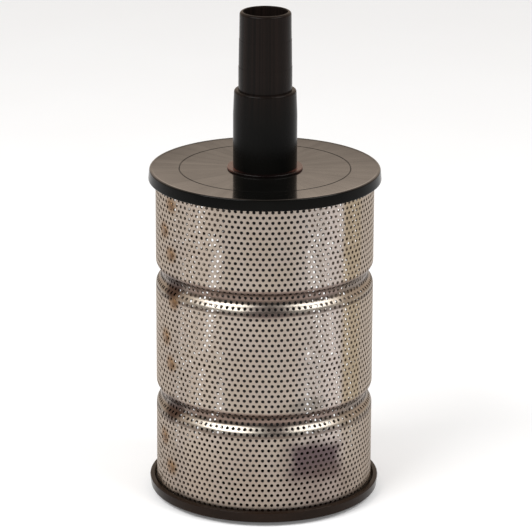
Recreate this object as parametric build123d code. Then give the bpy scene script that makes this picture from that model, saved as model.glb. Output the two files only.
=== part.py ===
import os
from math import atan, cos, degrees, sin

from build123d import *

# Suction filter: a perforated basket between two moulded caps, with a stepped hose tail on top.
# Millimetres, +Z up, origin at the middle of the foot ring that the filter stands on.

# Perforated shell: sheet rolled round, lapped and spot welded, with two rolled-in beads
shell_radius = 65.0
sheet_thickness = 0.6
shell_visible_height = 185.9
bead_heights = (53.9, 129.5)
bead_depth = 3.5
bead_half_width = 7.6
bead_valley_share = 0.55
lap_width = 16.0
seam_angle = 208.0

# Caps: one rim section for both
cap_overhang = 4.3
cap_draft = 0.7
rim_height = 6.6
rim_edge_radius = 1.1
lip_edge_radius = 0.8
plate_thickness = 3.0
channel_depth = 4.1
channel_chamfer = 0.9
guide_ring_width = 2.4
guide_ring_height = 1.0
rib_count = 6
rib_width = 2.0
rib_height = 3.2

# Lid face and boss
face_line_inset = 18.4
face_line_width = 0.9
face_line_depth = 0.45
edge_bead_width = 1.4
edge_bead_height = 0.35
boss_depth = 17.0

# Bottom cap
foot_height = 2.5
foot_inset = 9.3
foot_width = 4.0
foot_edge_radius = 0.5
pipe_socket_height = 6.0
pipe_socket_wall = 2.5

# Hose tail: an upper step for 32 mm hose and a lower step for 38 mm hose
tail_wall = 3.2
lower_step_radius = 19.0
lower_step_length = 47.0
lower_land_length = 32.0
lower_step_taper = 0.6
shoulder_radius = 1.5
upper_step_radius = 15.9
upper_step_length = 47.0
upper_land_length = 14.0
barb_length = 16.5
barb_taper = 0.22
barb_step = 0.12
mouth_edge_radius = 0.9
mouth_flare = 0.6
mouth_flare_depth = 1.2
shoulder_seat = 2.4
spigot_length = 15.0
spigot_chamfer = 1.0

# Washer under the tail
washer_overhang = 3.4
washer_thickness = 1.2
washer_edge_radius = 0.35

# Suction pipe: 50 mm pipe pushed on to the boss, with intake slots at its foot
pipe_radius = 25.0
pipe_wall = 2.0
slot_count = 6
slot_width = 9.0
slot_height = 26.0
slot_lift = 8.0

# Clearance between pieces that slide together, and the lead-in at their mouths
slip = 0.15
lead_in = 0.6

# Levels, from the foot up
rim_bottom = foot_height
plate_top = rim_bottom + plate_thickness
lower_lip = rim_bottom + rim_height
shell_bottom = lower_lip - channel_depth
upper_lip = lower_lip + shell_visible_height
shell_top = upper_lip + channel_depth
face_level = upper_lip + rim_height
plate_bottom = face_level - plate_thickness
tail_base = face_level + washer_thickness

# Radii that follow from the pieces they fit
cap_radius = shell_radius + cap_overhang
face_line_radius = cap_radius - face_line_inset
foot_radius = cap_radius - foot_inset
tail_bore_radius = upper_step_radius - tail_wall
spigot_radius = lower_step_radius - shoulder_seat
washer_radius = lower_step_radius + washer_overhang
shell_inner_radius = shell_radius - sheet_thickness
lap_radius = shell_radius + sheet_thickness
channel_inner_radius = shell_inner_radius - slip
channel_outer_radius = lap_radius + slip
guide_inner_radius = channel_inner_radius - guide_ring_width
pipe_inner_radius = pipe_radius - pipe_wall
boss_radius = pipe_inner_radius - slip
thread_bore_radius = spigot_radius + slip
socket_inner_radius = pipe_radius + slip
socket_outer_radius = socket_inner_radius + pipe_socket_wall


def spin(face, angle=360.0):
    """Turn a face drawn on the XZ plane about the Z axis."""
    return revolve(face, axis=Axis.Z, revolution_arc=angle)


def outline(points):
    """A face on the XZ plane from its corner points, given as (radius, height)."""
    with BuildSketch(Plane.XZ) as sketch:
        with BuildLine():
            Polyline(*points, close=True)
        make_face()
    return sketch.sketch


def corners_near(sketch, points):
    """The sketch corners that lie at the given (radius, height) points."""
    wanted = []
    for radius, height in points:
        here = Vector(radius, 0, height)
        wanted.append(min(sketch.vertices(), key=lambda corner: (Vector(*corner) - here).length))
    return wanted


def wall_line(offset):
    """The beaded wall line, moved outwards by offset, as edges from bottom to top on the XZ plane.

    Each bead is a valley arc between two crest arcs. They lean over by the same angle where they
    meet, so the line has no corner, and they stay concentric when the line is moved outwards.
    """
    lean = 2 * atan(bead_depth / bead_half_width)
    both_radii = bead_half_width / sin(lean)
    crest = both_radii * (1 - bead_valley_share) + offset
    line_radius = shell_radius + offset

    def on_crest(angle):
        """How far in from the wall, and along it, the crest arc has come after turning by angle."""
        return crest * (1 - cos(angle)), crest * sin(angle)

    edges = []
    here = (line_radius, shell_bottom)
    for height in bead_heights:
        middle = lower_lip + height
        in_half, along_half = on_crest(lean / 2)
        in_full, along_full = on_crest(lean)
        points = []
        for side in (-1, 1):
            edge = middle + side * bead_half_width
            points.append(
                [
                    (line_radius, edge),
                    (line_radius - in_half, edge - side * along_half),
                    (line_radius - in_full, edge - side * along_full),
                ]
            )
        low, high = points
        valley_floor = (line_radius - bead_depth, middle)
        edges.append(Line(here, low[0]))
        edges.append(ThreePointArc(*low))
        edges.append(ThreePointArc(low[2], valley_floor, high[2]))
        edges.append(ThreePointArc(*reversed(high)))
        here = high[0]
    edges.append(Line(here, (line_radius, shell_top)))
    return edges


def wall_section(inner_offset, outer_offset):
    """Section of the sheet between two offsets of the wall line."""
    with BuildSketch(Plane.XZ) as sketch:
        with BuildLine():
            inner = wall_line(inner_offset)
            outer = wall_line(outer_offset)
            Line(inner[0] @ 0, outer[0] @ 0)
            Line(inner[-1] @ 1, outer[-1] @ 1)
        make_face()
    return sketch.sketch


def make_shell():
    """Rolled and beaded sheet, with the raised lap of its seam following the beads."""
    wall = spin(wall_section(-sheet_thickness, 0))
    lap_angle = degrees(lap_width / shell_radius)
    lap = spin(wall_section(-sheet_thickness / 2, sheet_thickness), lap_angle)
    return wall + lap.rotate(Axis.Z, seam_angle - lap_angle / 2)


def rim_points(lip, up, outer_edge):
    """Rim corners from the guide ring, round the channel and the lip, to the cap's outer edge.

    lip is the height of the rim's open end, and up is 1 where the rim rises from it and -1 where
    it goes down.
    """
    return [
        (guide_inner_radius, lip - up * guide_ring_height),
        (channel_inner_radius, lip - up * guide_ring_height),
        (channel_inner_radius, lip + up * channel_depth),
        (channel_outer_radius, lip + up * channel_depth),
        (channel_outer_radius, lip + up * channel_chamfer),
        (channel_outer_radius + channel_chamfer, lip),
        (cap_radius, lip),
        (cap_radius - cap_draft, outer_edge),
    ]


def ribs(inner, outer, bottom, top):
    """Straight radial ribs on the inside of a cap, between its middle and its guide ring."""
    size = (outer - inner, rib_width, top - bottom)
    rib = Box(*size, align=(Align.MIN, Align.CENTER, Align.MIN)).moved(Location((inner, 0, bottom)))
    return [rib.rotate(Axis.Z, 360 * n / rib_count) for n in range(rib_count)]


def make_lid():
    """Upper cap: face with a ring line and an edge bead, rim with the shell's channel, boss below."""
    bead_in = cap_radius - cap_draft - edge_bead_width
    crown = face_level + edge_bead_height
    rim = rim_points(upper_lip, 1, crown)
    boss_bottom = plate_bottom - boss_depth
    section = outline(
        [
            (thread_bore_radius, boss_bottom),
            (boss_radius, boss_bottom),
            (boss_radius, plate_bottom),
            (guide_inner_radius, plate_bottom),
            *rim,
            (bead_in, crown),
            (bead_in, face_level),
            (face_line_radius + face_line_width / 2, face_level),
            (face_line_radius, face_level - face_line_depth),
            (face_line_radius - face_line_width / 2, face_level),
            (thread_bore_radius, face_level),
        ]
    )
    section = fillet(corners_near(section, [rim[-1]]), rim_edge_radius)
    section = fillet(corners_near(section, [(cap_radius, upper_lip)]), lip_edge_radius)
    section = chamfer(corners_near(section, [(boss_radius, boss_bottom)]), lead_in)
    sink = plate_thickness / 2
    stiffeners = ribs(
        socket_outer_radius, guide_inner_radius + sink, plate_bottom - rib_height, plate_bottom + sink
    )
    return spin(section) + stiffeners


def make_bottom_cap():
    """Lower cap: the same rim turned over, a foot ring below and a socket for the pipe above."""
    rim = rim_points(lower_lip, -1, rim_bottom)
    foot_inner_radius = foot_radius - foot_width
    socket_top = plate_top + pipe_socket_height
    section = outline(
        [
            (0, plate_top),
            (socket_inner_radius, plate_top),
            (socket_inner_radius, socket_top),
            (socket_outer_radius, socket_top),
            (socket_outer_radius, plate_top),
            (guide_inner_radius, plate_top),
            *rim,
            (foot_radius, rim_bottom),
            (foot_radius, 0),
            (foot_inner_radius, 0),
            (foot_inner_radius, rim_bottom),
            (0, rim_bottom),
        ]
    )
    section = fillet(corners_near(section, [rim[-1]]), rim_edge_radius)
    section = fillet(corners_near(section, [(cap_radius, lower_lip)]), lip_edge_radius)
    section = chamfer(corners_near(section, [(socket_inner_radius, socket_top)]), lead_in)
    section = fillet(corners_near(section, [(foot_radius, 0), (foot_inner_radius, 0)]), foot_edge_radius)
    sink = plate_thickness / 2
    stiffeners = ribs(
        socket_outer_radius - sink, guide_inner_radius + sink, plate_top - sink, plate_top + rib_height
    )
    return spin(section) + stiffeners


def make_hose_tail():
    """Stepped tail with shallow barbs, a through bore and the spigot that screws into the boss."""
    step_top = tail_base + lower_step_length
    mouth = step_top + upper_step_length
    spigot_bottom = tail_base - washer_thickness - spigot_length
    land_top = step_top + upper_land_length
    first_barb = land_top + barb_length
    neck_radius = upper_step_radius - barb_step
    middle_radius = neck_radius - barb_taper
    mouth_radius = middle_radius - barb_step - barb_taper
    section = outline(
        [
            (tail_bore_radius, spigot_bottom),
            (spigot_radius, spigot_bottom),
            (spigot_radius, tail_base),
            (lower_step_radius, tail_base),
            (lower_step_radius, tail_base + lower_land_length),
            (lower_step_radius - lower_step_taper, step_top),
            (upper_step_radius, step_top),
            (upper_step_radius, land_top),
            (neck_radius, land_top),
            (middle_radius, first_barb),
            (middle_radius - barb_step, first_barb),
            (mouth_radius, mouth),
            (tail_bore_radius + mouth_flare, mouth),
            (tail_bore_radius, mouth - mouth_flare_depth),
        ]
    )
    shoulder = (lower_step_radius - lower_step_taper, step_top)
    section = fillet(corners_near(section, [shoulder]), shoulder_radius)
    section = fillet(corners_near(section, [(mouth_radius, mouth)]), mouth_edge_radius)
    section = chamfer(corners_near(section, [(spigot_radius, spigot_bottom)]), spigot_chamfer)
    return spin(section)


def make_washer():
    """Flat ring squeezed between the tail's shoulder and the lid's face."""
    section = outline(
        [
            (thread_bore_radius, face_level),
            (washer_radius, face_level),
            (washer_radius, tail_base),
            (thread_bore_radius, tail_base),
        ]
    )
    rounded = corners_near(section, [(washer_radius, face_level), (washer_radius, tail_base)])
    return spin(fillet(rounded, washer_edge_radius))


def make_pipe():
    """Suction pipe between the caps, with round-ended intake slots round its foot."""
    length = plate_bottom - plate_top
    tube = Cylinder(pipe_radius, length, align=(Align.CENTER, Align.CENTER, Align.MIN))
    tube -= Cylinder(pipe_inner_radius, length, align=(Align.CENTER, Align.CENTER, Align.MIN))
    slot_plane = Plane.XZ.offset(-2 * pipe_radius)
    slot_middle = slot_lift + slot_height / 2
    shape = slot_plane * Pos(0, slot_middle) * SlotOverall(slot_height, slot_width, rotation=90)
    cutter = extrude(shape, 2 * pipe_radius)
    for n in range(slot_count):
        tube -= cutter.rotate(Axis.Z, 360 * n / slot_count)
    return tube.moved(Location((0, 0, plate_top)))


pieces = {
    "perforated_shell": make_shell,
    "lid": make_lid,
    "bottom_cap": make_bottom_cap,
    "hose_tail": make_hose_tail,
    "sealing_washer": make_washer,
    "suction_pipe": make_pipe,
}

os.makedirs("parts", exist_ok=True)
for name, make in pieces.items():
    export_step(make(), f"parts/{name}.step")
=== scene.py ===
import math

import bpy
import numpy as np
from mathutils import Matrix, Vector


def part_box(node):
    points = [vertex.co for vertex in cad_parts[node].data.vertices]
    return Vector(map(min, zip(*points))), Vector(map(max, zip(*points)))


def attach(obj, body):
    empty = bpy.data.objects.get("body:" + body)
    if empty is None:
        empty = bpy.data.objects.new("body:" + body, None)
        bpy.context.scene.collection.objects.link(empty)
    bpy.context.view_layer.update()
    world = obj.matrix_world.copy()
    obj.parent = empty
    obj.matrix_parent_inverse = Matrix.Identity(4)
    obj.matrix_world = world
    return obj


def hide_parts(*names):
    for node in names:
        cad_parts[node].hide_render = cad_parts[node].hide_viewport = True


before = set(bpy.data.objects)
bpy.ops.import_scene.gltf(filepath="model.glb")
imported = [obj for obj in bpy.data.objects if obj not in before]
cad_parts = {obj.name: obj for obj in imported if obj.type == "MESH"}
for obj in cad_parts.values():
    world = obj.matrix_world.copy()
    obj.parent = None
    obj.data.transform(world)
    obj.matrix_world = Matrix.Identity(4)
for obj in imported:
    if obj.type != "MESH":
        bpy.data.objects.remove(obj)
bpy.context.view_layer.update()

# Suction filter. Sizes are in millimetres, heights are above the floor, and MM turns them into metres.
MM = 0.001

# Heights of the frame's pieces
shell_low, shell_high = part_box("perforated_shell")
washer_low, washer_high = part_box("sealing_washer")
tail_low, tail_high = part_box("hose_tail")
lid_low, lid_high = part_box("lid")
socket_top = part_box("bottom_cap")[1].z / MM
shell_bottom = shell_low.z / MM
shell_top = shell_high.z / MM
face_level = washer_low.z / MM
tail_base = washer_high.z / MM
spigot_bottom = tail_low.z / MM
mouth_level = tail_high.z / MM
boss_bottom = lid_low.z / MM
face_crown = lid_high.z / MM

# Perforated sheet
shell_radius = 65.0
sheet_thickness = 0.6
channel_depth = 4.1
lower_lip = shell_bottom + channel_depth
upper_lip = shell_top - channel_depth
bead_levels = (lower_lip + 53.9, lower_lip + 129.5)
bead_depth = 3.5
bead_half_width = 7.6
bead_valley_share = 0.55
bead_draw = 1.48
bead_steps = 60
holes_round = 112
hole_rows = 60
hole_radius = 1.02
hole_corners = 12
first_hole = 0.38
first_row_above_lip = -0.1
last_row_below_lip = 1.85
band_rows = (21, 39)

# Lap of the sheet's ends, and its spot welds. The dome of a weld grows by (share of height, scale),
# and each spot is (degrees round from the front, height).
seam_angle = 208.0
lap_width = 16.0
lap_rise = 0.62
joggle_width = 3.0
lap_crossing = -58.2
weld_radius = 2.3
weld_height = 0.3
weld_depth = 0.1
weld_corners = 24
weld_dome = ((0.6, 0.93), (0.3, 0.75), (0.1, 0.5))
weld_spots = (
    (-57.3, 188.5),
    (-64.1, 171.8),
    (-57.5, 158.4),
    (-55.0, 129.6),
    (-62.7, 105.7),
    (-57.5, 90.6),
    (-65.2, 42.1),
    (-57.4, 25.2),
)

# Caps
cap_radius = 69.3
cap_draft = 0.7
rim_edge_radius = 1.1
lip_edge_radius = 0.8
plate_thickness = 3.0
channel_chamfer = 0.9
guide_ring_width = 2.4
guide_ring_height = 1.0
face_line_radius = 50.9
face_line_width = 0.9
face_line_depth = 0.45
edge_bead_width = 1.4
edge_bead_slope = 1.2
rib_count = 6
rib_width = 2.0
rib_height = 3.2
rib_edge_radius = 0.4
foot_radius = 60.0
foot_width = 4.0
foot_height = 2.5
foot_edge_radius = 0.5
pipe_radius = 25.0
pipe_wall = 2.0
socket_wall = 2.5
lead_in = 0.6
slip = 0.15

# Hose tail and its washer
tail_bore_radius = 12.7
lower_step_radius = 19.0
lower_step_length = 47.0
lower_land_length = 32.0
lower_step_taper = 0.6
shoulder_radius = 1.5
upper_step_radius = 15.9
upper_land_length = 14.0
barb_length = 16.5
barb_taper = 0.22
barb_step = 0.12
mouth_edge_radius = 1.6
mouth_flare = 0.6
mouth_flare_depth = 1.2
spigot_radius = 16.6
spigot_chamfer = 1.0
washer_radius = 22.4
washer_edge_radius = 0.35

# Radii that follow from what fits together
channel_inner_radius = shell_radius - sheet_thickness - slip
channel_outer_radius = shell_radius + sheet_thickness + slip
guide_inner_radius = channel_inner_radius - guide_ring_width
boss_radius = pipe_radius - pipe_wall - slip
thread_bore_radius = spigot_radius + slip
socket_inner_radius = pipe_radius + slip
socket_outer_radius = socket_inner_radius + socket_wall

turn_steps = 192
arc_steps = 5
smooth_angle = math.radians(35)
merge_distance = 1e-6
flat_merge_distance = 0.01
flat_tolerance = 0.001


# Modelling helpers


def use(piece):
    """Leave edit mode and make this piece the only one selected."""
    if bpy.context.object and bpy.context.object.mode != "OBJECT":
        bpy.ops.object.mode_set(mode="OBJECT")
    bpy.ops.object.select_all(action="DESELECT")
    if piece:
        piece.select_set(True)
        bpy.context.view_layer.objects.active = piece


def apply(piece, kind, **settings):
    """Give a piece a modifier with these settings and apply it."""
    use(piece)
    modifier = piece.modifiers.new(kind.title(), kind)
    for key, value in settings.items():
        setattr(modifier, key, value)
    bpy.ops.object.modifier_apply(modifier=modifier.name)


def settle(piece, name):
    """Name a finished piece, put its place in its mesh and shade its curves smooth."""
    use(piece)
    piece.name = name
    piece.data.name = name
    bpy.ops.object.transform_apply(location=True, rotation=True, scale=True)
    bpy.ops.object.shade_smooth_by_angle(angle=smooth_angle)
    apply(piece, "WEIGHTED_NORMAL", keep_sharp=True)
    return piece


def join(pieces):
    """Join pieces into the first of them."""
    use(pieces[0])
    for piece in pieces:
        piece.select_set(True)
    bpy.ops.object.join()
    return pieces[0]


def outline(*corners):
    """Points of a section from its (radius, height) corners. A third value rounds that corner."""
    points = []
    for n, corner in enumerate(corners):
        here = Vector(corner[:2])
        if len(corner) < 3:
            points.append(here)
            continue
        before = (Vector(corners[n - 1][:2]) - here).normalized()
        after = (Vector(corners[(n + 1) % len(corners)][:2]) - here).normalized()
        half = before.angle(after) / 2
        centre = here + (before + after).normalized() * corner[2] / math.sin(half)
        start = here + before * corner[2] / math.tan(half) - centre
        end = here + after * corner[2] / math.tan(half) - centre
        first = math.atan2(start.y, start.x)
        swing = math.remainder(math.atan2(end.y, end.x) - first, 2 * math.pi)
        for step in range(arc_steps + 1):
            turn = first + swing * step / arc_steps
            points.append(centre + Vector((math.cos(turn), math.sin(turn))) * corner[2])
    return points


def turned(section):
    """A turned piece, drawn out ring by ring from a circle along its section.

    A section that starts on the axis gets a disc at its start and end, and any other closes on itself.
    """
    use(None)
    on_axis = section[0][0] == 0
    path = section[1:-1] if on_axis else section + section[:1]
    radius, height = path[0]
    bpy.ops.mesh.primitive_circle_add(
        vertices=turn_steps,
        radius=radius * MM,
        fill_type="NGON" if on_axis else "NOTHING",
        location=(0, 0, height * MM),
        enter_editmode=True,
    )
    extrude = bpy.ops.mesh.extrude_region_move if on_axis else bpy.ops.mesh.extrude_edges_move
    for next_radius, next_height in path[1:]:
        extrude(TRANSFORM_OT_translate={"value": (0, 0, (next_height - height) * MM)})
        scale = next_radius / radius
        centre = (0, 0, next_height * MM)
        bpy.ops.transform.resize(value=(scale, scale, 1), center_override=centre)
        radius, height = next_radius, next_height
    bpy.ops.mesh.select_all(action="SELECT")
    bpy.ops.mesh.remove_doubles(threshold=merge_distance)
    bpy.ops.mesh.normals_make_consistent(inside=False)
    use(bpy.context.object)
    return bpy.context.object


def rib_set(inner, outer, bottom, top):
    """Straight radial ribs with eased edges on the inside of a cap."""
    ribs = []
    for n in range(rib_count):
        use(None)
        bpy.ops.mesh.primitive_cube_add(size=1, enter_editmode=True)
        bpy.ops.transform.resize(value=((outer - inner) * MM, rib_width * MM, (top - bottom) * MM))
        bpy.ops.mesh.bevel(offset=rib_edge_radius * MM, segments=2, affect="EDGES")
        middle = Vector((inner + outer, 0, bottom + top)) / 2 * MM
        bpy.ops.transform.translate(value=middle)
        turn = 2 * math.pi * n / rib_count
        bpy.ops.transform.rotate(value=-turn, orient_axis="Z", center_override=(0, 0, 0))
        use(bpy.context.object)
        ribs.append(bpy.context.object)
    return ribs


# Perforated sheet


def wall_line():
    """The beaded wall line from the sheet's lower edge up: how far along, radius, height and lean.

    Each bead is a valley arc between two crest arcs that lean over by the same angle where they meet.
    How far along is measured on the flat sheet, which the rolling of each bead draws out a little.
    """
    lean = 2 * math.atan(bead_depth / bead_half_width)
    both = bead_half_width / math.sin(lean)
    valley = both * bead_valley_share
    crest = both - valley
    half_run = both * lean
    drawn = 1 - bead_draw / 2 / half_run
    line = [(0.0, shell_radius, shell_bottom, 0.0)]
    for level in bead_levels:
        edge_run = line[-1][0] + level - bead_half_width - line[-1][2]
        for step in range(-bead_steps, bead_steps + 1):
            share = step / bead_steps
            angle = 2 * lean * abs(share)
            if angle < lean:
                inward = bead_depth - valley * (1 - math.cos(angle))
                aside = valley * math.sin(angle)
                run = valley * angle
            else:
                angle = 2 * lean - angle
                inward = crest * (1 - math.cos(angle))
                aside = bead_half_width - crest * math.sin(angle)
                run = half_run - crest * angle
            side = math.copysign(1, share)
            line.append(
                (
                    edge_run + (half_run + side * run) * drawn,
                    shell_radius - inward,
                    level + side * aside,
                    -side * angle,
                )
            )
    line.append((line[-1][0] + shell_top - line[-1][2], shell_radius, shell_top, 0.0))
    return np.array(line).T


wall_run, wall_radius, wall_height, wall_lean = wall_line()
sheet_height = wall_run[-1]
sheet_length = 2 * math.pi * shell_radius + lap_width
hole_pitch = 2 * math.pi * shell_radius / holes_round
first_row = channel_depth + first_row_above_lip
row_gap = (sheet_height - first_row - channel_depth - last_row_below_lip) / (hole_rows - 1)


def cut(piece, place, away):
    """Cut the flat sheet straight at a place and throw away the part on the side that away points to."""
    use(piece)
    bpy.ops.object.mode_set(mode="EDIT")
    bpy.ops.mesh.select_all(action="SELECT")
    bpy.ops.mesh.bisect(plane_co=place, plane_no=away, clear_outer=True, threshold=1e-4)
    bpy.ops.object.mode_set(mode="OBJECT")


def margin(piece, start, end):
    """Draw the flat sheet's edge at one level out to another as a plain margin."""
    use(piece)
    for face in piece.data.polygons:
        face.select = False
    for vertex in piece.data.vertices:
        vertex.select = abs(vertex.co.y - start) < flat_tolerance
    for edge in piece.data.edges:
        edge.select = all(piece.data.vertices[n].select for n in edge.vertices)
    bpy.context.tool_settings.mesh_select_mode = (False, True, False)
    bpy.ops.object.mode_set(mode="EDIT")
    bpy.ops.mesh.extrude_edges_move(TRANSFORM_OT_translate={"value": (0, end - start, 0)})
    bpy.ops.object.mode_set(mode="OBJECT")


def flat_sheet():
    """The sheet before it is rolled: one cell with a round hole, repeated in staggered rows.

    Its first end is at x = 0 and it runs to the left, in millimetres.
    """
    use(None)
    bpy.ops.mesh.primitive_circle_add(vertices=hole_corners, radius=hole_radius, enter_editmode=True)
    bpy.ops.mesh.select_all(action="DESELECT")
    bpy.ops.mesh.primitive_circle_add(vertices=6, radius=1)
    half_width = hole_pitch / 2 / math.cos(math.radians(30))
    bpy.ops.transform.resize(value=(half_width, row_gap * 2 / 3, 1), center_override=(0, 0, 0))
    bpy.ops.mesh.select_all(action="SELECT")
    bpy.ops.mesh.bridge_edge_loops()
    bpy.ops.mesh.quads_convert_to_tris()
    bpy.ops.mesh.normals_make_consistent(inside=False)
    use(bpy.context.object)
    sheet = bpy.context.object
    columns = math.ceil(sheet_length / hole_pitch) + 2
    for count, step in (
        (2, (-hole_pitch / 2, row_gap, 0)),
        (columns, (-hole_pitch, 0, 0)),
        (hole_rows // 2, (0, 2 * row_gap, 0)),
    ):
        apply(
            sheet,
            "ARRAY",
            count=count,
            use_relative_offset=False,
            use_constant_offset=True,
            constant_offset_displace=step,
            use_merge_vertices=True,
            merge_threshold=flat_merge_distance,
        )
    sheet.location = (hole_pitch - first_hole, first_row, 0)
    bpy.ops.object.transform_apply(location=True)
    lowest = first_row - row_gap / 3
    highest = first_row + (hole_rows - 1) * row_gap + row_gap / 3
    cut(sheet, (0, 0, 0), (1, 0, 0))
    cut(sheet, (-sheet_length, 0, 0), (-1, 0, 0))
    cut(sheet, (0, lowest, 0), (0, -1, 0))
    cut(sheet, (0, highest, 0), (0, 1, 0))
    margin(sheet, lowest, 0)
    margin(sheet, highest, sheet_height)
    return sheet


def rolled(piece):
    """Wrap a flat piece round the basket and over its beads, with the sheet's last end over its first.

    The mesh keeps the flat faces' own normals, turned with the surface, so the beads shade smooth.
    """
    mesh = piece.data
    flat = np.empty(len(mesh.vertices) * 3)
    mesh.vertices.foreach_get("co", flat)
    along, up, out = flat.reshape(-1, 3).T
    facing = np.empty(len(mesh.polygons) * 3)
    mesh.polygons.foreach_get("normal", facing)
    facing = facing.reshape(-1, 3)
    corners = np.empty(len(mesh.loops), int)
    mesh.loops.foreach_get("vertex_index", corners)
    sides = np.empty(len(mesh.polygons), int)
    mesh.polygons.foreach_get("loop_total", sides)
    radius = np.interp(up, wall_run, wall_radius)
    height = np.interp(up, wall_run, wall_height)
    tilt = np.interp(up, wall_run, wall_lean)[:, None]
    lap_start = sheet_length - lap_width - joggle_width
    climb = np.clip((-along - lap_start) / joggle_width, 0, 1)
    out = out + lap_rise * climb * climb * (3 - 2 * climb)
    angle = math.radians(seam_angle) + (lap_width / 2 + along) / shell_radius
    zero = np.zeros_like(angle)
    outwards = np.stack([np.cos(angle), np.sin(angle), zero], axis=1)
    round_way = np.stack([-np.sin(angle), np.cos(angle), zero], axis=1)
    upwards = np.array([0.0, 0.0, 1.0])
    normal = np.cos(tilt) * outwards + np.sin(tilt) * upwards
    slope = np.cos(tilt) * upwards - np.sin(tilt) * outwards
    place = radius[:, None] * outwards + height[:, None] * upwards + out[:, None] * normal
    mesh.vertices.foreach_set("co", (place * MM).ravel())
    way = np.repeat(facing, sides, axis=0)
    shade = way[:, :1] * round_way[corners] + way[:, 1:2] * slope[corners] + way[:, 2:] * normal[corners]
    mesh.polygons.foreach_set("use_smooth", np.ones(len(mesh.polygons), bool))
    mesh.update()
    mesh.normals_split_custom_set(shade.tolist())


def sheet_band(sheet, name, low_row, high_row):
    """One band of the sheet between two rows, given its thickness and then rolled."""
    use(sheet)
    bpy.ops.object.duplicate()
    band = bpy.context.object
    if low_row > 0:
        cut(band, (0, first_row + (low_row - 0.5) * row_gap, 0), (0, -1, 0))
    if high_row < hole_rows:
        cut(band, (0, first_row + (high_row - 0.5) * row_gap, 0), (0, 1, 0))
    apply(band, "SOLIDIFY", thickness=sheet_thickness, offset=-1)
    rolled(band)
    band.name = name
    band.data.name = name
    return band


def spot_weld(angle, height):
    """A slightly domed spot of metal that closes one hole at the lap, drawn on the flat sheet."""
    use(None)
    turn = math.radians(angle - 90 - seam_angle)
    along = math.remainder(turn, 2 * math.pi) * shell_radius - lap_width / 2
    along -= 2 * math.pi * shell_radius
    up = float(np.interp(height, wall_height, wall_run))
    bpy.ops.mesh.primitive_circle_add(
        vertices=weld_corners,
        radius=weld_radius,
        fill_type="NGON",
        location=(along, up, -weld_depth),
        enter_editmode=True,
    )
    for share, scale in weld_dome:
        bpy.ops.mesh.extrude_region_move(TRANSFORM_OT_translate={"value": (0, 0, weld_height * share)})
        bpy.ops.transform.resize(value=(scale, scale, 1), center_override=(along, up, 0))
    use(bpy.context.object)
    bpy.ops.object.transform_apply(location=True)
    return bpy.context.object


sheet = flat_sheet()
edges = (0, *band_rows, hole_rows)
shell_bands = [
    sheet_band(sheet, f"perforated_shell_{part}", edges[n], edges[n + 1])
    for n, part in enumerate(("lower", "middle", "upper"))
]
bpy.data.objects.remove(sheet)
welds = join([spot_weld(*spot) for spot in weld_spots])
rolled(welds)
welds.name = "spot_welds"


# Caps


def rim(lip, up, outer_edge):
    """Rim corners from the guide ring, round the channel and the lip, to the cap's outer edge."""
    return [
        (guide_inner_radius, lip - up * guide_ring_height),
        (channel_inner_radius, lip - up * guide_ring_height),
        (channel_inner_radius, lip + up * channel_depth),
        (channel_outer_radius, lip + up * channel_depth),
        (channel_outer_radius, lip + up * channel_chamfer),
        (channel_outer_radius + channel_chamfer, lip),
        (cap_radius, lip, lip_edge_radius),
        (cap_radius - cap_draft, outer_edge, rim_edge_radius),
    ]


plate_bottom = face_level - plate_thickness
plate_top = foot_height + plate_thickness
sink = plate_thickness / 2

lid_body = turned(
    outline(
        (thread_bore_radius, boss_bottom),
        (boss_radius - lead_in, boss_bottom),
        (boss_radius, boss_bottom + lead_in),
        (boss_radius, plate_bottom),
        (guide_inner_radius, plate_bottom),
        *rim(upper_lip, 1, face_crown),
        (cap_radius - cap_draft - edge_bead_width, face_crown),
        (cap_radius - cap_draft - edge_bead_width - edge_bead_slope, face_level),
        (face_line_radius + face_line_width / 2, face_level),
        (face_line_radius, face_level - face_line_depth),
        (face_line_radius - face_line_width / 2, face_level),
        (thread_bore_radius, face_level),
    )
)
lid_ribs = rib_set(
    socket_outer_radius, guide_inner_radius + sink, plate_bottom - rib_height, plate_bottom + sink
)
lid = settle(join([lid_body, *lid_ribs]), "lid_moulding")

base_body = turned(
    outline(
        (0, plate_top),
        (socket_inner_radius, plate_top),
        (socket_inner_radius, socket_top - lead_in),
        (socket_inner_radius + lead_in, socket_top),
        (socket_outer_radius, socket_top),
        (socket_outer_radius, plate_top),
        (guide_inner_radius, plate_top),
        *rim(lower_lip, -1, foot_height),
        (foot_radius, foot_height),
        (foot_radius, 0, foot_edge_radius),
        (foot_radius - foot_width, 0, foot_edge_radius),
        (foot_radius - foot_width, foot_height),
        (0, foot_height),
    )
)
base_ribs = rib_set(
    socket_outer_radius - sink, guide_inner_radius + sink, plate_top - sink, plate_top + rib_height
)
base = settle(join([base_body, *base_ribs]), "bottom_cap_moulding")

# Hose tail and washer
step_top = tail_base + lower_step_length
land_top = step_top + upper_land_length
first_barb = land_top + barb_length
neck_radius = upper_step_radius - barb_step
middle_radius = neck_radius - barb_taper
tail = settle(
    turned(
        outline(
            (tail_bore_radius, spigot_bottom),
            (spigot_radius - spigot_chamfer, spigot_bottom),
            (spigot_radius, spigot_bottom + spigot_chamfer),
            (spigot_radius, tail_base),
            (lower_step_radius, tail_base),
            (lower_step_radius, tail_base + lower_land_length),
            (lower_step_radius - lower_step_taper, step_top, shoulder_radius),
            (upper_step_radius, step_top),
            (upper_step_radius, land_top),
            (neck_radius, land_top),
            (middle_radius, first_barb),
            (middle_radius - barb_step, first_barb),
            (middle_radius - barb_step - barb_taper, mouth_level, mouth_edge_radius),
            (tail_bore_radius + mouth_flare, mouth_level),
            (tail_bore_radius, mouth_level - mouth_flare_depth),
        )
    ),
    "hose_tail_moulding",
)
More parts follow.
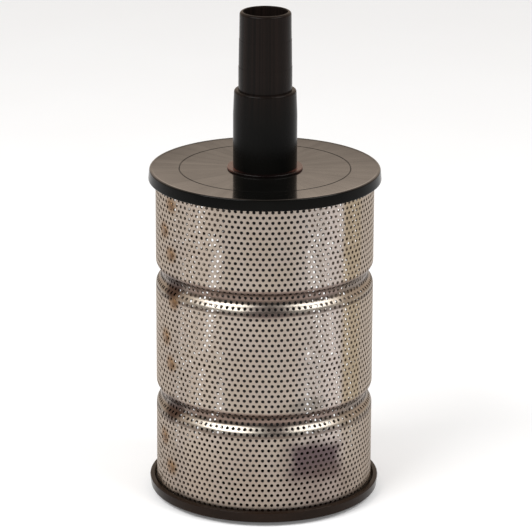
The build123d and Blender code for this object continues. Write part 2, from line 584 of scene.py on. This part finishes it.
washer = settle(
    turned(
        outline(
            (thread_bore_radius, face_level),
            (washer_radius, face_level, washer_edge_radius),
            (washer_radius, tail_base, washer_edge_radius),
            (thread_bore_radius, tail_base),
        )
    ),
    "sealing_washer_ring",
)


# Materials


class Value:
    """A value in a node tree. Python's operators on it add Math nodes."""

    def __init__(self, tree, socket=None):
        self.tree = tree
        self.socket = socket

    def node(self, kind, inputs=(), out=0, **settings):
        """Add a node: its settings come first, then the values or links of its sockets."""
        node = self.tree.nodes.new(kind)
        for key, value in settings.items():
            setattr(node, key, value)
        pairs = inputs.items() if isinstance(inputs, dict) else enumerate(inputs)
        for key, value in pairs:
            if isinstance(value, Value):
                self.tree.links.new(value.socket, node.inputs[key])
            else:
                node.inputs[key].default_value = value
        return Value(self.tree, node.outputs[out])

    def math(self, operation, *others):
        return self.node("ShaderNodeMath", (self, *others), operation=operation)

    def __add__(self, other):
        return self.math("ADD", other)

    def __sub__(self, other):
        return self.math("SUBTRACT", other)

    def __rsub__(self, other):
        return self.node("ShaderNodeMath", (other, self), operation="SUBTRACT")

    def __mul__(self, other):
        return self.math("MULTIPLY", other)

    def __truediv__(self, other):
        return self.math("DIVIDE", other)

    __radd__ = __add__
    __rmul__ = __mul__

    def ramp(self, low, high, start=0.0, end=1.0):
        """Run smoothly from start to end as the value goes from low to high, and stay there."""
        return self.node(
            "ShaderNodeMapRange", (self, low, high, start, end), interpolation_type="SMOOTHSTEP"
        )

    def between(self, low, high, soft):
        """Rise to 1 at low and fall back to 0 at high, each over a soft distance to both sides."""
        return self.ramp(low - soft, low + soft) * self.ramp(high - soft, high + soft, 1.0, 0.0)

    def near(self, middle, half, soft):
        """1 within half a width of the middle value, fading out over a soft distance."""
        return (self - middle).math("ABSOLUTE", 0).ramp(half, half + soft, 1.0, 0.0)

    def mix(self, first, second):
        """Blend two colours by this value."""
        return self.node("ShaderNodeMix", {0: self, 6: first, 7: second}, out=2, data_type="RGBA")

    def noise(self, scale, detail=2.0, rough=0.5, stretch=(1, 1, 1)):
        """Noise over this place, stretched by a scale on each axis."""
        spread = self.node("ShaderNodeVectorMath", (self, stretch), operation="MULTIPLY")
        inputs = {"Vector": spread, "Scale": scale, "Detail": detail, "Roughness": rough}
        return self.node("ShaderNodeTexNoise", inputs)

    def bump(self, strength, distance):
        """Relief of this height."""
        inputs = {"Strength": strength, "Distance": distance, "Height": self}
        return self.node("ShaderNodeBump", inputs)


def finish(name, **constants):
    """A new material, the function that feeds its shader's sockets, and the place on the surface."""
    material = bpy.data.materials.new(name)
    material.use_nodes = True
    tree = material.node_tree
    shader = tree.nodes["Principled BSDF"]
    for key, value in constants.items():
        shader.inputs[key.replace("_", " ")].default_value = value

    def feed(**sockets):
        for key, value in sockets.items():
            tree.links.new(value.socket, shader.inputs[key.replace("_", " ")])

    return material, feed, Value(tree).node("ShaderNodeTexCoord", out="Object")


def black_plastic():
    """Glossy black moulding with flow marks that run out from the middle, duller on the hose tail."""
    material, feed, place = finish("black_plastic", Specular_IOR_Level=0.06, Coat_Roughness=0.06)
    height = place.node("ShaderNodeSeparateXYZ", (place,), out="Z") / MM
    patches = place.noise(26, 3, 0.6)
    dust = place.noise(900, 2, 0.6)
    level = place.node("ShaderNodeVectorMath", (place, (1, 1, 0)), operation="MULTIPLY")
    flow = level.node("ShaderNodeVectorMath", (level,), operation="NORMALIZE").noise(7, 4, 0.7)
    rings = place.noise(420, 3, 0.6, stretch=(0.02, 0.02, 1))
    back = level.node("ShaderNodeSeparateXYZ", (level,), out="Y") / MM
    facing = place.node("ShaderNodeNewGeometry", out="Normal")
    upwards = facing.node("ShaderNodeSeparateXYZ", (facing,), out="Z")
    colour = patches.ramp(0.3, 0.7).mix((0.0022, 0.0022, 0.0020, 1), (0.0036, 0.0034, 0.0030, 1))
    # Browner below about 12 mm, on the bottom cap's rim
    low_brown = height.ramp(9.5, 12, 1.0, 0.0)
    colour = (low_brown * patches.ramp(0.2, 0.6, 0.6, 1.0)).mix(colour, (0.016, 0.0095, 0.0065, 1))
    tail = height.ramp(tail_base, tail_base + 3)
    # Brown streaks on the upper hose tail
    upper_tail_brown = height.ramp(tail_base + 20, tail_base + 60) * flow.ramp(0.35, 0.65, 0.3, 1.0)
    colour = upper_tail_brown.mix(colour, (0.0105, 0.0068, 0.0055, 1))
    face = height.between(face_level - 2.5, face_level + 1, 0.5) * upwards.ramp(0.5, 0.9)
    sheen = flow * 0.6 + patches * 0.4 + back.ramp(-60, 60, 0.2, -0.12)
    relief = place.noise(55) + dust * 0.1 + face * flow * 0.8 + tail * rings * 0.35
    feed(
        Base_Color=colour,
        Roughness=patches * 0.08 + dust * 0.05 + tail * 0.09 + 0.1,
        Coat_Weight=face * sheen,
        Normal=relief.bump(0.07, 0.0006),
    )
    return material


def red_fibre():
    """Red-brown fibre of the sealing washer, with painted shade that blackens it towards the front."""
    material, feed, place = finish("red_fibre", Specular_IOR_Level=0.2)
    fibres = place.noise(700, 4, 0.7, stretch=(1, 1, 3))
    back = place.node("ShaderNodeSeparateXYZ", (place,), out="Y") / MM
    red = fibres.ramp(0.3, 0.7).mix((0.06, 0.018, 0.012, 1), (0.11, 0.036, 0.024, 1))
    # Painted shade: the washer blackens towards the front
    front_shade = (back + (fibres - 0.5) * 8).ramp(-16, -5, 1.0, 0.0)
    feed(
        Base_Color=front_shade.mix(red, (0.004, 0.0022, 0.002, 1)),
        Roughness=fibres * 0.2 + 0.14,
        Normal=fibres.bump(0.12, 0.0002),
    )
    return material


def pipe_plastic():
    """Dull dark grey plastic of the suction pipe."""
    material, feed, place = finish("pipe_plastic")
    grain = place.noise(220, 3, 0.6)
    feed(
        Base_Color=grain.mix((0.008, 0.008, 0.008, 1), (0.016, 0.015, 0.014, 1)),
        Roughness=grain * 0.2 + 0.5,
    )
    return material


def painted(colour, *coats):
    """A colour under coats of (mask, strength, tint), laid on one after another."""
    for mask, strength, tint in coats:
        colour = (mask * strength).mix(colour, (*tint, 1))
    return colour


def perforated_steel():
    """Warm grey rolled sheet, clouded by handling, with painted reflections on its sides and in its
    beads, and rusty at its welds.
    """
    material, feed, place = finish("perforated_steel", Metallic=1.0)
    right, back, high = (place.node("ShaderNodeSeparateXYZ", (place,), out=n) for n in range(3))
    around = right.math("ARCTAN2", back * -1) * math.degrees(1)
    turned_away = around.math("ABSOLUTE", 0)
    height = high / MM
    sheet = place.node("ShaderNodeCombineXYZ", (around, height, 0.0))
    cloud = place.noise(22, 4, 0.55, stretch=(1, 1, 0.7))
    blotch = place.noise(85, 3, 0.6)
    grain = place.noise(420, 3, 0.6)
    ragged = (place.noise(60, 3, 0.6) - 0.5) * 0.9

    def mark(angle, level, half_angle, half_height, soft):
        """1 inside an oval mark and 0 outside it, with a soft ragged edge."""
        size = (1 / half_angle, 1 / half_height, 0)
        centre = (angle / half_angle, level / half_height, 0)
        oval = sheet.node("ShaderNodeVectorMath", (sheet, size), operation="MULTIPLY")
        far = oval.node("ShaderNodeVectorMath", (oval, centre), out="Value", operation="DISTANCE")
        return (far + ragged).ramp(1 - soft, 1 + soft, 1.0, 0.0)

    # How far a place is above the middle of the nearer bead
    apart = bead_levels[1] - bead_levels[0]
    upper = height.math("GREATER_THAN", bead_levels[0] + apart / 2)
    off = height - bead_levels[0] - upper * apart + (blotch - 0.5) * 0.8
    bead = off.between(-6.4, 5.5, 1.0)
    # Colour of the painted dark lines, reflection and shade, along the beads
    dark_reflection_line = (0.045, 0.025, 0.018)

    # The dark patch is a slanted square, shaken to a ragged outline
    shaken = ragged * 6 + (blotch - 0.5) * 8
    across = (around + shaken).ramp(4, 20) * (around + shaken).ramp(39.5, 48.5, 1.0, 0.0)
    slant = height + (around - 28) * 0.12 + shaken * 0.5
    patch = across * slant.between(25.5, 48.5, 4.5) * height.ramp(22, 38, 0.7, 1.0)

    colour = painted(
        cloud.ramp(0.3, 0.7).mix((0.325, 0.270, 0.221, 1), (0.380, 0.320, 0.266, 1)),
        (blotch.ramp(0.35, 0.7), 0.35, (0.36, 0.308, 0.285)),
        # Painted reflections by angle round from the front: lighter stretches where the wall faces
        # between the camera and the lamps, browner sides and an olive streak; and darker towards the
        # lower end
        # Painted highlights: lighter, cooler stretches on the right, between the camera and the right
        # lamp
        (around.between(18, 45, 8), 0.7, (0.405, 0.355, 0.325)),
        (around.between(33, 44, 4), 0.55, (0.50, 0.432, 0.40)),
        # Painted highlight: a lighter stretch on the left, between the camera and the left lamp
        (around.between(-45, -27, 6), 0.4, (0.42, 0.348, 0.285)),
        # Painted reflection: browner sides, where the wall turns away from the camera
        (turned_away.between(65, 105, 15), 0.8, (0.33, 0.25, 0.175)),
        # Darker towards the lower end
        (height.ramp(12, 60, 1.0, 0.0), 0.25, (0.22, 0.165, 0.13)),
        # Painted reflection: an olive streak on the right
        (around.near(52.7, 5.5, 4) * height.ramp(40, 75), 0.55, (0.33, 0.25, 0.14)),
        # Painted reflections in the beads: dark brown on the upper slopes, lighter there towards the
        # sides, a painted highlight of lighter metal on the lower slopes, and dark lines between
        # Painted dark reflection on the beads' upper slopes
        (off.between(-0.8, 6.6, 0.8), 0.7, (0.125, 0.074, 0.06)),
        # Painted reflection: the upper slopes lighter towards the sides
        (off.between(0.5, 5.6, 0.8) * turned_away.ramp(54, 66), 0.6, (0.42, 0.33, 0.25)),
        # Painted highlight: lighter metal on the lower slopes, where the lamps' highlight falls
        (off.between(-6.8, -2.4, 0.8), 0.75, (0.45, 0.418, 0.362)),
        # Painted dark reflection lines along the beads' edges and below their highlight
        (off.near(4.8, 0.6, 1.0), 0.1, dark_reflection_line),
        (off.near(-1.2, 0.6, 1.0), 0.5, dark_reflection_line),
        (off.near(-8.1, 0.5, 1.0), 0.6, dark_reflection_line),
        # Painted shade: the beads darker where they turn away from the camera
        (bead * turned_away.ramp(40, 52), 0.6, (0.19, 0.165, 0.145)),
        # The patch with a fainter run below it, a smudge above it, and painted shade in the middle of
        # the beads
        (patch, 0.94, (0.104, 0.072, 0.078)),
        (mark(33.0, 21.0, 19.0, 14.0, 0.5), 0.4, (0.13, 0.085, 0.065)),
        (mark(22.0, 73.0, 11.0, 4.5, 0.6), 0.75, (0.19, 0.168, 0.145)),
        # Painted shade: darker marks in the middle of both beads, where their highlight breaks
        (mark(2.0, bead_levels[1] - 6.0, 12.0, 4.2, 0.5), 0.7, (0.1, 0.07, 0.066)),
        (mark(7.0, bead_levels[0] - 4.0, 7.0, 3.5, 0.5), 0.6, (0.13, 0.095, 0.085)),
    )

    # Rust round the spot welds, and dark stains where the lap crosses the beads
    for angle, level in weld_spots:
        colour = painted(
            colour,
            (mark(angle, level, 4.4, 4.8, 0.5), 0.78, (0.205, 0.107, 0.037)),
            (mark(angle + 0.8, level - 1.0, 2.0, 1.8, 0.6), 0.6, (0.07, 0.033, 0.016)),
        )
    for level in bead_levels:
        stain = mark(lap_crossing, level - 0.8, 7.5, 7.0, 0.45)
        colour = painted(colour, (stain, 0.92, (0.05, 0.026, 0.019)))
    feed(
        Base_Color=colour,
        Roughness=grain * 0.12 + cloud * 0.14 + patch * 0.1 - bead * 0.02 + 0.25,
        Normal=(grain * 0.3 + cloud).bump(0.15, 0.0006),
    )
    return material


def shown(value):
    """1 for rays that show a background: from the camera, or reflected or let through by a surface."""
    camera_ray, glossy_ray, transmission_ray = (
        value.node("ShaderNodeLightPath", out=f"Is {kind} Ray")
        for kind in ("Camera", "Glossy", "Transmission")
    )
    return camera_ray.math("MAXIMUM", glossy_ray).math("MAXIMUM", transmission_ray)


def floor_paper():
    """Plain white paper that the filter stands on."""
    material, feed, place = finish("floor_paper", Emission_Strength=1.0)
    grain = place.noise(9)
    feed(
        Emission_Color=shown(place).mix((0, 0, 0, 1), (0.13, 0.13, 0.13, 1)),
        Base_Color=grain.mix((0.86, 0.86, 0.86, 1), (0.89, 0.89, 0.89, 1)),
        Roughness=grain * 0.1 + 0.6,
    )
    return material


plastic = black_plastic()
steel = perforated_steel()
for piece, node, slot, material in (
    (lid, "lid", "black_plastic", plastic),
    (base, "bottom_cap", "black_plastic", plastic),
    (tail, "hose_tail", "black_plastic", plastic),
    (washer, "sealing_washer", "red_fibre", red_fibre()),
    *((band, "perforated_shell", "perforated_steel", steel) for band in shell_bands),
    (welds, "perforated_shell", "perforated_steel", steel),
):
    piece.data.materials.clear()
    piece.data.materials.append(material)
    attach(piece, "root")
    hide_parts(node)
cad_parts["suction_pipe"].material_slots[0].material = pipe_plastic()

# Floor
floor_radius = 6000
use(None)
bpy.ops.mesh.primitive_circle_add(vertices=64, radius=floor_radius * MM, fill_type="NGON")
floor = bpy.context.object
floor.name = "floor"
floor.data.materials.append(floor_paper())


# Light
lamp_width = 1250
lamp_height = 700
lamp_rise = 45
lamp_target = 120


def softbox(name, turn, distance, power):
    """A soft rectangular lamp that looks at the filter, turned round from the front and raised."""
    lamp = bpy.data.lights.new(name, "AREA")
    lamp.shape = "RECTANGLE"
    lamp.size = lamp_width * MM
    lamp.size_y = lamp_height * MM
    lamp.energy = power
    holder = bpy.data.objects.new(name, lamp)
    bpy.context.collection.objects.link(holder)
    turn = math.radians(turn)
    rise = math.radians(lamp_rise)
    away = Vector((math.sin(turn) * math.cos(rise), -math.cos(turn) * math.cos(rise), math.sin(rise)))
    holder.location = (away * distance + Vector((0, 0, lamp_target))) * MM
    holder.rotation_euler = away.to_track_quat("Z", "Y").to_euler()


softbox("left_softbox", turn=-49, distance=1700, power=23)
softbox("right_softbox", turn=62, distance=1800, power=16.5)

# A room that is dim in front of the filter and bright behind it, for the rays that show it
dim_room = (0.11, 0.095, 0.085, 1)
bright_room = (0.95, 0.78, 0.64, 1)
plain_light = (0.57, 0.57, 0.57, 1)
world = bpy.data.worlds.new("studio")
bpy.context.scene.world = world
world.use_nodes = True
air = Value(world.node_tree)
way = air.node("ShaderNodeTexCoord", out="Generated")
behind = way.node("ShaderNodeSeparateXYZ", (way,), out="Y").ramp(-0.35, 0.3)
seen = shown(air).mix(plain_light, behind.mix(dim_room, bright_room))
world.node_tree.links.new(seen.socket, world.node_tree.nodes["Background"].inputs["Color"])

# Camera at the photograph's viewing angle
lens_pixels = 3393
frame_pixels = 532
camera_place = (0.84, -1934.6, 760.2)
camera_dip = 17.766
camera_roll = 0.225
camera_data = bpy.data.cameras.new("camera")
camera_data.sensor_width = 36
camera_data.lens = lens_pixels / frame_pixels * camera_data.sensor_width
camera = bpy.data.objects.new("camera", camera_data)
bpy.context.collection.objects.link(camera)
camera.matrix_world = (
    Matrix.Translation(Vector(camera_place) * MM)
    @ Matrix.Rotation(math.radians(90 - camera_dip), 4, "X")
    @ Matrix.Rotation(math.radians(camera_roll), 4, "Z")
)
bpy.context.scene.camera = camera
bpy.context.scene.view_settings.view_transform = "Standard"
